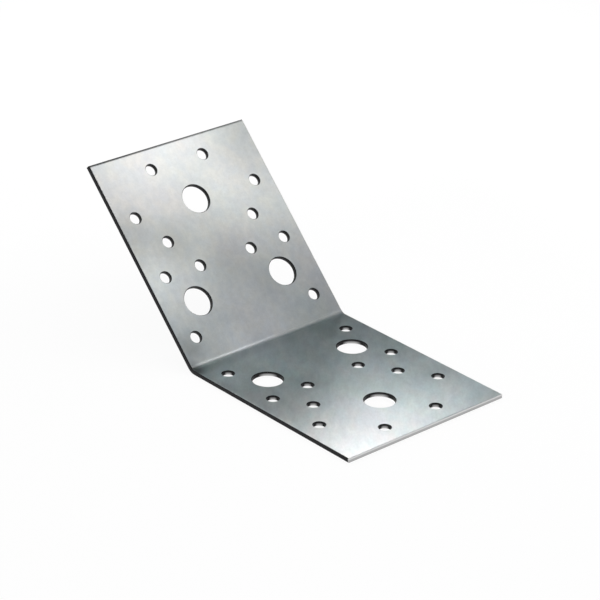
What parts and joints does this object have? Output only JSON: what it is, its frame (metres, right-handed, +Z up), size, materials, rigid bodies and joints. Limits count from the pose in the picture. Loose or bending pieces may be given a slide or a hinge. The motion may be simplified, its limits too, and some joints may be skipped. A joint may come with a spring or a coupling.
{
  "type": "perforated angle bracket",
  "caption": "Obtuse angle bracket folded from perforated galvanised steel sheet, for bolting and nailing two timber members together at an angle.",
  "frame": {"origin": "axis of the base leaf's centre bolt hole, on the underside of that leaf", "axes": "+X along the base leaf, away from the fold, to its free end; +Y along the fold; +Z up from the base leaf, out of the bolt hole, towards the inside of the angle"},
  "size_m": [0.1792, 0.09, 0.0755],
  "materials": {
    "galvanised_steel": "hot-dip galvanised sheet, fine spangle, satin"
  },
  "bodies": {
    "root": {"folded_plate": "galvanised_steel"}
  },
  "joints": []
}
